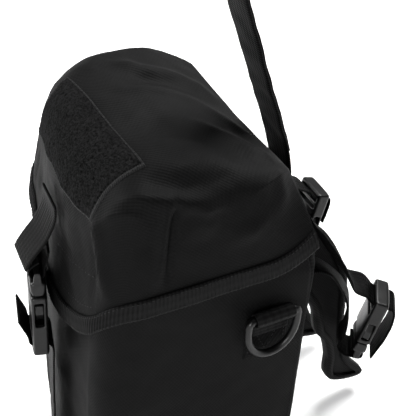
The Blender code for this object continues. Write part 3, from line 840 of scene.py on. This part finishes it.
def body_ring(z):
    """The body's closed outline at one height."""
    table = np.array(BODY_RINGS)
    half, near, back, radius, inset = [np.interp(z, table[:, 0], table[:, k]) for k in range(1, 6)]
    ring = plan_outline(half, near, back, radius, (inset, inset))
    side = ring[0][0]
    steps = 48
    ring = ring + [(-side + 2.0 * side * i / steps, back) for i in range(1, steps)]
    return np.array([(x, y, z) for x, y in ring])


def make_body():
    heights = np.concatenate([np.linspace(0.0, 12.0, 10), np.linspace(15.0, MOUTH_Z, 78)])
    points = np.array([body_ring(z) for z in heights])
    normal = normals_of(points, wrap=True)
    centre = points.mean(axis=1, keepdims=True)
    if ((points - centre) * normal)[30].sum() < 0:
        normal = -normal
    relief = np.zeros(points.shape[:2])
    for r, z in enumerate(heights):
        fade = clamp((z - 6.0) / 20.0) * min(1.0, max(0.25, (216.0 - z) / 30.0))
        for c in range(points.shape[1]):
            p = points[r, c]
            slump = 0.9 * ripple((p[0], p[1], p[2] * 1.6), 38.0, 4.0) + 0.35 * ripple(p, 13.0, 8.0)
            relief[r, c] = fade * slump - 0.35
    for line, height, width in (
            (((47, -70, 12), (47, -70, 120), (46, -66, 200)), 0.7, 1.4),
            (((-44, -54, 12), (-44, -54, 120), (-43, -50, 200)), 0.7, 1.4),
            (((68, 44, 190), (69, 30, 172), (69, 12, 164)), -1.1, 7.0),
            (((69, -40, 30), (70, 0, 40), (69, 40, 34)), -0.9, 10.0),
            (((69, -20, 96), (70, 4, 92), (69, 30, 100)), 0.6, 12.0)):
        gap, _ = polyline_distance(points, line)
        relief += height * np.exp(-(gap / width) ** 2)
    points = points + normal * np.clip(relief, -2.0, 0.75)[..., None]
    obj = grid_object("body_cloth", points, map_closed(points, heights), NYLON, wrap=True)
    mesh = obj.data
    rework(mesh, lambda bm: bm.faces.new([bm.verts[i] for i in range(points.shape[1])]), face_outward)
    turn_outward(mesh, -1, -UP)   # the last face is the base
    surface = surface_of(mesh)
    thicken(obj, 2.0)
    finish_piece(obj, "bag", "nylon", "body_shell")

    def ring_line(z, lift):
        ring = body_ring(z)
        return [snap(surface, p, lift) for p in np.concatenate([ring, ring[:1]])]

    rounds = [ring_line(10.0, 0.05), ring_line(14.0, 0.05), ring_line(206.0, 0.0)]
    stitches("body_seam_stitching", "bag", rounds, 2.4, 1.2, 0.22, slot="nylon")
    return surface


def make_base_seam(surface):
    """Bound seam where the base joins the walls."""
    ring = body_ring(7.0)
    spots = [snap(surface, p, 0.5) for p in np.concatenate([ring, ring[:1]])]
    rows = []
    for k in range(9):
        a = 2.0 * math.pi * k / 8.0
        rows.append([tuple(spot + normal * (0.9 * math.cos(a)) + UP * (1.9 * math.sin(a)))
                     for spot, normal in spots])
    points = np.array(rows)
    uv = np.stack([lengths(points, 1), lengths(points, 0)], axis=2)[:, :, ::-1]
    obj = grid_object("base_seam_binding", points, uv, TAPE_MAT)
    finish_piece(obj, "bag", "webbing")


# Webbing

def section(width, thick, ridges, depth):
    """Cross-section of a strap as (across, out) pairs, top side then underside."""
    columns = 30
    top = []
    for k in range(columns + 1):
        a = -1.0 + 2.0 * k / columns
        round_off = (1.0 - abs(a) ** 14) ** 0.5 if abs(a) < 1.0 else 0.0
        lines = depth * math.cos(math.pi * ridges * a) if ridges and abs(a) < 0.93 else 0.0
        top.append((a * width / 2, thick / 2 * (0.35 + 0.65 * round_off) + lines))
    under = [(a, -b) for a, b in reversed(top)]
    return top + under


def strap(name, body, path, across, across_end=None, twist=(0, 1), width=25.0, thick=1.4, step=1.0, mat=None,
          replaced=None, ridges=0, depth=0.0, cross=0.0, cross_pitch=1.6, slack=0.15):
    """Woven webbing along a path, with a rounded edge, optional ridges and ribs, and slight waviness."""
    line, place, travel = smooth_line(path, step)
    start = Vector(across).normalized()
    end = Vector(across_end or across).normalized()
    profile = section(width, thick, ridges, depth)
    rows = []
    count = len(line)
    for i in range(count):
        side = start.lerp(end, clamp((place[i] - twist[0]) / (twist[1] - twist[0]))).normalized()
        ahead = ahead_at(line, i)
        normal = ahead.cross(side).normalized()
        side = normal.cross(ahead).normalized()
        rib = cross * math.sin(2.0 * math.pi * travel[i] / cross_pitch)
        ease = min(1.0, travel[i] / 6.0, (travel[-1] - travel[i]) / 6.0)
        row = []
        for a, b in profile:
            wave = slack * ease * ripple(line[i] + np.array([a * 0.6, 0.0, 0.0]), 9.0, 11.0)
            lift = b + math.copysign(rib, b) * (1.0 - abs(2 * a / width) ** 8) + wave
            row.append(tuple(Vector(line[i]) + side * a + normal * lift))
        rows.append(row)
    points = np.array(rows)
    obj = grid_object(name, points, map_closed(points, travel), mat or WEBBING, wrap=True)

    def close_ends(bm):
        n = points.shape[1]
        for first in (0, (count - 1) * n):
            for k in range(n // 2 - 1):
                quad = (first + k, first + k + 1, first + n - 2 - k, first + n - 1 - k)
                bm.faces.new([bm.verts[i] for i in quad])

    rework(obj.data, close_ends, face_outward)
    shade_smooth(obj.data)
    finish_piece(obj, body, "webbing", *([replaced] if replaced else []))
    return rows


FRONT_TURN, STRAP_TURN = math.radians(-16.0), math.radians(-6.0)
FRONT_MIDDLE = Vector((0.0, -79.4, 145.0))
CROSS_RIB = 0.07   # height of the fine ribs across a strap
EDGE_ROW = 0.84    # where a stitched row runs, as a share of half the strap's width


def on_front(points, angle):
    """Points of the front's middle plane, turned by an angle about the upright through the front clip."""
    spin = Matrix.Rotation(angle, 4, "Z")
    return [tuple(spin @ Vector((0.0, y - FRONT_MIDDLE.y, z)) + Vector((0.0, FRONT_MIDDLE.y, 0.0)))
            for y, z in points]


def across_front(angle):
    return Matrix.Rotation(angle, 4, "Z") @ Vector((1.0, 0.0, 0.0))


def strap_face(rows, i, share, half):
    """A place on a strap's face, at a share across it from -1 to 1. half is 1 or -1, for the face."""
    width = len(rows[0])
    k = int(round((share + 1.0) / 2.0 * (width // 2 - 1)))
    top, under = Vector(rows[i][k]), Vector(rows[i][width - 1 - k])
    return top if half > 0 else under, (top - under).normalized() * half


def row_lines(rows, first, last, shares, half):
    """Stitch lines along one face of a strap, at given places across it."""
    return [[strap_face(rows, i, share, half) for i in range(first, last)] for share in shares]


def make_front_straps():
    """The lid's sewn strap and its clip's keeper, and the bag's strap with the tail that leaves its clip."""
    along, strap_along = across_front(FRONT_TURN), across_front(STRAP_TURN)
    rows = strap("lid_strap_webbing", "lid", on_front(
        ((-70.2, 214.0), (-70.4, 207.0), (-72.4, 200.0), (-76.6, 192.0), (-81.6, 185.5), (-85.6, 179.8),
         (-87.4, 176.4)), STRAP_TURN), strap_along, replaced="lid_strap", step=0.5, cross=CROSS_RIB,
                 cross_pitch=1.7)
    sides = row_lines(rows, 3, 38, (-EDGE_ROW, EDGE_ROW), -1)
    ends = [[strap_face(rows, i, EDGE_ROW * (k / 6.0 - 1.0), -1) for k in range(13)] for i in (3, 37)]
    diagonals = [[strap_face(rows, int(3 + 34 * k / 16.0), slope * EDGE_ROW * (k / 8.0 - 1.0), -1)
                  for k in range(17)] for slope in (1, -1)]
    stitches("lid_strap_stitching", "lid", sides + ends + diagonals, 1.9, 0.9, 0.22)
    strap("clip_keeper_webbing", "lid", on_front(
        ((-72.8, 187.0), (-73.8, 182.0), (-75.0, 177.0), (-75.6, 172.0), (-77.2, 169.8), (-79.4, 169.4),
         (-81.6, 169.8), (-83.4, 172.0), (-83.6, 175.4), (-81.2, 178.2), (-77.8, 180.4)), FRONT_TURN), along,
        replaced="clip_keeper_loop", step=0.5, ridges=9, depth=0.07, slack=0.0)
    strap("front_strap_webbing", "bag", on_front(
        ((-73.2, 14.0), (-73.4, 40.0), (-73.2, 80.0), (-72.6, 104.0), (-72.4, 115.0), (-73.4, 119.2),
         (-76.0, 120.8), (-79.4, 120.9), (-83.0, 120.9), (-85.2, 122.6), (-85.6, 125.0)), FRONT_TURN), along,
        replaced="front_strap", step=0.8)
    strap("front_tail_webbing", "front_tail", on_front(
        ((-85.8, 126.3), (-86.6, 129.2), (-88.6, 134.0), (-90.6, 139.0)), FRONT_TURN), along,
        replaced="front_strap_tail", step=0.5, cross=CROSS_RIB)


# The strap loops: their distance from the middle, their clips' size beside the front one, and their width
LOOP_X, SIDE_CLIP, SIDE_WEB = 48.0, 0.82, 20.0
NEAR_TURN, FAR_TURN = math.radians(-36.0), math.radians(-5.0)   # how far each loop's clip is turned


def make_side_straps(tag, side, out, lift, turn, tail):
    """A loop of webbing behind the bag: down to its clip, from the clip back to the bag, and a loose tail."""
    upside_down = Matrix.Rotation(math.radians(-12.0), 4, "X") @ Matrix.Rotation(math.pi, 4, "Y")
    place = (Matrix.Translation((side * LOOP_X, 125.5 + out, 90.0 + lift)) @ Matrix.Rotation(turn, 4, "Z")
             @ upside_down)
    across = (math.cos(turn), math.sin(turn), 0.0)

    def local(points):
        return [tuple(place @ Vector((0.0, y, z * SIDE_CLIP))) for y, z in points]

    def hung(points):
        return [(side * x, y + share * out, z + share * lift) for x, y, z, share in points]

    upper = hung(((48, 58.6, 199, 0), (48, 63.5, 191, 0), (48, 71, 182, 0.1), (48, 80, 169, 0.3),
                  (48, 90, 153, 0.5), (47.5, 99, 139, 0.7), (46, 107, 127.5, 0.9)))
    upper += local(((-12.0, -31.0), (-7.6, -27.0), (-3.5, -24.9), (0.0, -24.5), (3.8, -24.6)))
    strap(tag + "_upper_webbing", "bag", upper, (1, 0, 0), across, (4, 7), SIDE_WEB, step=0.8,
          mat=SIDE_WEBBING, replaced=tag + "_upper_strap")
    lean = side * turn / NEAR_TURN
    lower = hung(((48, 65, 157.5, 0), (48, 72, 155.5, 0), (48, 80, 150, 0.1), (48 - 2 * lean, 88, 141.5, 0.3),
                  (48 - 4.5 * lean, 96.5, 131, 0.5), (48 - 6.5 * lean, 105, 119, 0.7),
                  (48 - 7.5 * lean, 111.5, 105, 0.9), (48 - 8 * lean, 114, 92, 1),
                  (48 - 8.4 * lean, 113.5, 80, 1)))
    lower += local(((-13.5, 23.0), (-11.8, 29.0), (-6.5, 32.6), (-1.8, 32.2), (1.8, 31.9), (3.8, 30.2),
                    (3.8, 26.8), (2.0, 24.9), (-2.0, 24.7), (-5.2, 24.9)))
    strap(tag + "_lower_webbing", "bag", lower, (1, 0, 0), across, (2, 6), SIDE_WEB, step=0.8,
          mat=SIDE_WEBBING, replaced=tag + "_lower_strap")
    strap(tag + "_tail_webbing", tag + "_tail", local(tail), across, width=SIDE_WEB, step=0.5,
          cross=CROSS_RIB, mat=SIDE_WEBBING, replaced=tag + "_strap_tail")


# The D-ring as in the CAD: the middle of its bar, its wire's radius, half its length, its legs and its bow
RING_X, RING_Y, RING_Z, RING_WIRE, RING_HALF, RING_LEG, RING_BOW = 73.5, 31.0, 151.0, 2.3, 16.0, 8.0, 20.0


def make_ring_wire(tag, side):
    """The D: a bar between small bends, two short legs and a round bow."""
    x, bend = side * RING_X, 3.2
    corners = []
    for sign in (-1, 1):
        corner = []
        for k in range(6):
            a = math.pi / 2 * k / 5
            corner.append((x, RING_Y + sign * (RING_HALF - bend + bend * math.sin(a)),
                           RING_Z - bend + bend * math.cos(a)))
        corners.append(corner)
    loop = corners[0][::-1] + corners[1]
    for i in range(41):
        a = math.pi * i / 40
        loop.append((x, RING_Y + RING_HALF * math.cos(a), RING_Z - RING_LEG - RING_BOW * math.sin(a)))
    closed = np.array(loop + loop[:1])
    travel = travel_along(closed)
    steps, sides = 160, 20
    centre = points_at(np.linspace(0.0, travel[-1], steps + 1)[:-1], travel, closed)
    points = np.zeros((steps, sides, 3))
    flat = Vector((1.0, 0.0, 0.0))
    for i in range(steps):
        ahead = Vector(centre[(i + 1) % steps] - centre[i - 1]).normalized()
        other = ahead.cross(flat).normalized()
        for k in range(sides):
            a = 2.0 * math.pi * k / sides
            out = flat * math.cos(a) * RING_WIRE + other * math.sin(a) * RING_WIRE
            points[i, k] = Vector(centre[i]) + out
    points = np.concatenate([points, points[:1]])
    obj = grid_object(tag + "_ring_wire", points, np.zeros((steps + 1, sides + 1, 2)), PLASTIC, wrap=True)
    rework(obj.data, merge_doubles, face_outward)
    finish_piece(obj, tag + "_ring", "plastic", tag + "_d_ring")


def make_ring_loop(tag, side):
    """Ribbed webbing that goes up behind the ring's bar, over it and back down."""
    path = [(69.9, RING_Z - 15.0), (69.9, RING_Z - 9.0), (69.9, RING_Z - 3.0)]
    for i in range(9):
        a = math.radians(160.0 - 240.0 * i / 8)
        path.append((RING_X + 3.6 * math.cos(a), RING_Z + 3.6 * math.sin(a)))
    path.append((71.9, RING_Z - 5.6))
    strap(tag + "_ring_webbing", "bag", [(side * x, RING_Y, z) for x, z in path], (0, 1, 0), width=25.0,
          thick=1.2, step=0.4, mat=RIBBED, replaced=tag + "_ring_loop", ridges=10, depth=0.16, slack=0.0)


def make_ring_patch(tag, side, surface):
    """The stiff patch under the ring, with its stitched box and triangle."""
    rows, cols = 36, 34
    patch = np.zeros((rows, cols, 3))
    for r in range(rows):
        for c in range(cols):
            y = RING_Y - 14.0 + 28.0 * c / (cols - 1)
            z = RING_Z - 3.0 - 31.0 * r / (rows - 1)
            rim = r in (0, rows - 1) or c in (0, cols - 1)
            spot, normal = snap(surface, (side * 68.5, y, z))
            weave = 0.08 * math.sin(z * 2.6) * math.sin(y * 2.6)
            patch[r, c] = spot + normal * (0.0 if rim else 0.75 + weave)
    uv = np.stack([patch[:, :, 1], patch[:, :, 2]], axis=2) * MM
    obj = grid_object(tag + "_patch_cloth", patch, uv, PATCH)
    out = Vector((side, 0.0, 0.0))
    turn_outward(obj.data, len(obj.data.polygons) // 2, out)
    finish_piece(obj, "bag", "nylon", tag + "_ring_patch")
    # The stitched marks: the box's corners and the triangle's tip, from the middle of the ring's bar.
    marks = np.array(((-11.5, -8.0), (11.5, -8.0), (0.0, -29.0), (-11.5, -31.0), (11.5, -31.0)))
    lines = []
    for a, b in ((0, 1), (0, 2), (1, 2), (3, 4), (0, 3), (1, 4)):
        places = [(RING_Y, RING_Z) + marks[a] + (marks[b] - marks[a]) * (k / 19.0) for k in range(20)]
        lines.append([(snap(surface, (side * 69.0, y, z), 0.8)[0], out) for y, z in places])
    stitches(tag + "_patch_stitching", "bag", lines, 1.9, 0.8, 0.24)


def make_top_strap():
    """The strap behind the lid: its sewn root, its free part, and the narrower layer stitched onto that."""
    strap("top_strap_root", "bag", [(4.0, y, z) for y, z in ((64.9, 136.0), (64.9, 150.0), (64.9, 163.0),
                                                             (66.2, 169.4))], (1, 0, 0), thick=2.2, step=1.0,
          replaced="top_strap_base")
    path = ((66.6, 170.2), (69.8, 184.0), (72.0, 198.0), (68.5, 214.0), (61.0, 235.0), (51.5, 260.0),
            (43.0, 283.0), (33.0, 310.0), (26.0, 330.0))
    strap("top_strap_webbing", "top_strap", [(4.0, y, z) for y, z in path], (1, 0, 0), thick=2.0, step=1.0,
          replaced="top_strap", slack=0.5)
    rows = strap("top_strap_overlay", "top_strap", [(5.5, y + 1.9, z) for y, z in path[3:]], (1, 0, 0),
                 thick=1.2, width=19.0, step=1.0, slack=0.5)
    lines = row_lines(rows, 2, len(rows) - 2, (-0.8, 0.8), 1)
    stitches("top_strap_stitching", "top_strap", lines, 2.2, 1.2, 0.22)


# Padded pieces: an inflated cushion made from the CAD solid

def merge_flat_faces(bm):
    bmesh.ops.dissolve_limit(bm, angle_limit=math.radians(1.0), verts=bm.verts, edges=bm.edges)


def copy_of(node, name, mat):
    mesh = NODES[node].data.copy()
    mesh.name = name
    rework(mesh, merge_doubles, merge_flat_faces)
    return link_mesh(name, mesh, mat)


def face_map(mesh, first, second):
    """Maps a mesh flat onto two of its axes, in metres, for the weave."""
    layer = mesh.uv_layers.active or mesh.uv_layers.new(name="cloth")
    for loop in mesh.loops:
        co = mesh.vertices[loop.vertex_index].co
        layer.data[loop.index].uv = (co[first], co[second])


def inflate(obj, pressure, limit):
    """Lets cloth under pressure round the piece off, no further than the limit in millimetres."""
    start = places_of(obj.data)
    bpy.context.view_layer.objects.active = obj
    cloth = obj.modifiers.new("Cloth", "CLOTH").settings
    cloth.use_pressure = True
    cloth.uniform_pressure_force = pressure
    cloth.effector_weights.gravity = 0.0
    cloth.tension_stiffness = 20.0
    cloth.compression_stiffness = 20.0
    cloth.bending_stiffness = 0.6
    scene = bpy.context.scene
    for frame_number in range(1, 21):
        scene.frame_set(frame_number)
    graph = bpy.context.evaluated_depsgraph_get()
    mesh = bpy.data.meshes.new_from_object(obj.evaluated_get(graph))
    obj.modifiers.clear()
    obj.data = mesh
    scene.frame_set(1)
    move = places_of(mesh) - start
    size = np.linalg.norm(move, axis=1, keepdims=True)
    move *= np.minimum(1.0, limit * MM / np.maximum(size, 1e-9))
    set_places(mesh, start + move)


def remesh(obj, voxel, rounds=3):
    """Rebuilds a mesh from voxels of one size in millimetres, then smooths it over a number of rounds."""
    mod = obj.modifiers.new("voxels", "REMESH")
    mod.mode = "VOXEL"
    mod.voxel_size = voxel * MM
    apply_modifiers(obj)
    mod = obj.modifiers.new("even", "SMOOTH")
    mod.iterations = rounds
    apply_modifiers(obj)


def subdivide(obj):
    mod = obj.modifiers.new("fine", "SUBSURF")
    mod.levels = 1
    mod.render_levels = 1
    apply_modifiers(obj)


def make_back_panel():
    obj = copy_of("back_panel", "back_pad", NYLON)
    remesh(obj, 2.4)
    inflate(obj, 3.0, 1.0)
    # Quilted channels: shallow grooves across the pad.
    for v in obj.data.vertices:
        x, y, z = [c / MM for c in v.co]
        if y > 60.5:
            groove = max(math.exp(-((z - level) / 2.2) ** 2) for level in (48.0, 84.0, 120.0))
            v.co.y -= 1.3 * MM * groove * clamp((60.0 - abs(x)) / 4.0)
        v.co.y += 0.25 * MM * ripple((x, y, z), 16.0, 21.0)
    subdivide(obj)
    face_map(obj.data, 0, 2)
    finish_piece(obj, "bag", "nylon", "back_panel")


# The wings' outline and their distance from the middle, as in the CAD
WING = ((65.0, 170.0), (80.0, 166.0), (95.0, 154.0), (107.0, 136.0), (117.0, 114.0), (120.0, 90.0),
        (123.0, 60.0), (132.0, 34.0), (147.0, 14.0), (121.0, 20.0), (117.0, 42.0), (112.0, 58.0),
        (105.0, 68.0), (102.0, 78.0), (100.0, 88.0), (94.0, 100.0), (84.0, 114.0), (65.0, 128.0))
WING_X = 24.0


def make_wing(tag, side):
    middle = side * WING_X
    obj = copy_of(tag + "_wing", tag + "_wing_pad", NYLON)
    remesh(obj, 2.4)
    inflate(obj, 2.5, 0.8)
    subdivide(obj)
    face_map(obj.data, 1, 2)
    body = tag + "_wing_pad"
    finish_piece(obj, body, "webbing", tag + "_wing")
    # Edge binding: a flat tape folded round the outline.
    line, _, travel = smooth_line([(middle, y, z) for y, z in WING], 1.2)
    rows = []
    shape = ((4.0, 3.0), (3.9, 0.5), (3.4, -1.2), (0.0, -1.6), (-3.4, -1.2), (-3.9, 0.5), (-4.0, 3.0))
    for i in range(len(line)):
        ahead = ahead_at(line, i)
        inward = Vector((0.0, -ahead.z, ahead.y))
        rib = 0.12 * math.sin(2.0 * math.pi * travel[i] / 2.4)
        row = []
        for a, b in shape:
            row.append(tuple(Vector(line[i]) + Vector((a + math.copysign(rib, a), 0.0, 0.0)) - inward * b))
        rows.append(row)
    points = np.array(rows)
    band = grid_object(tag + "_wing_binding", points, map_along(points, travel), WEBBING)
    thicken(band, 0.7, 0.0)
    finish_piece(band, body, "webbing")


# Moulded pieces keep their CAD shape, with every edge rounded as a mould leaves it

def moulded(node, body, voxel=0.45, rounds=16, barrel=0.0):
    """The node's shape with rounded edges. barrel thins it towards both sides, for a rounder section."""
    obj = copy_of(node, node + "_moulded", PLASTIC)
    remesh(obj, voxel, rounds)
    if barrel:
        points = places_of(obj.data)
        centre = (points.min(axis=0) + points.max(axis=0)) / 2.0
        # The clip's own directions: the longest first, the thinnest last.
        _, across, thin = np.linalg.svd(points - points.mean(axis=0), full_matrices=False)[2]
        a, b = (points - centre) @ across, (points - centre) @ thin
        points -= (b * barrel * np.abs(a / np.abs(a).max()) ** 3)[:, None] * thin
        set_places(obj.data, points)
    finish_piece(obj, body, "plastic", node)


def make_floor():
    mesh = bpy.data.meshes.new("studio_floor")
    rework(mesh, lambda bm: bmesh.ops.create_grid(bm, x_segments=8, y_segments=8, size=40.0))
    floor = link_mesh("studio_floor", mesh, floor_finish())
    floor.location.z = -0.0006


make_camera()
make_light()
make_floor()
LID_SURFACE = make_lid()
make_lid_tape()
make_loop_panel(LID_SURFACE)
make_lid_seams(LID_SURFACE)
make_hinge_cloth()
BODY_SURFACE = make_body()
make_base_seam(BODY_SURFACE)
make_front_straps()
make_side_straps("near", 1.0, 0.0, 0.0, NEAR_TURN,
                 ((4.6, -24.6), (8.4, -24.0), (11.0, -19.0), (12.5, -6.0), (12.0, 10.0), (10.0, 28.0)))
make_side_straps("far", -1.0, 12.0, 15.0, FAR_TURN,
                 ((4.6, -24.6), (7.2, -24.0), (8.6, -20.0), (9.0, -10.0), (8.6, 0.0)))
for tag_name, side_sign in (("near", 1.0), ("far", -1.0)):
    make_ring_wire(tag_name, side_sign)
    make_ring_loop(tag_name, side_sign)
    make_ring_patch(tag_name, side_sign, BODY_SURFACE)
    make_wing(tag_name, side_sign)
make_top_strap()
make_back_panel()
for clip in ("front", "near", "far"):
    moulded(clip + "_clip_male", "lid" if clip == "front" else "bag", barrel=0.4)
    moulded(clip + "_clip_female", "bag", barrel=0.12)
    moulded(clip + "_clip_prong_a", clip + "_prong_a", 0.4, 8)
    moulded(clip + "_clip_prong_b", clip + "_prong_b", 0.4, 8)
NODES["base_board"].data.materials.clear()
NODES["base_board"].data.materials.append(LINING)
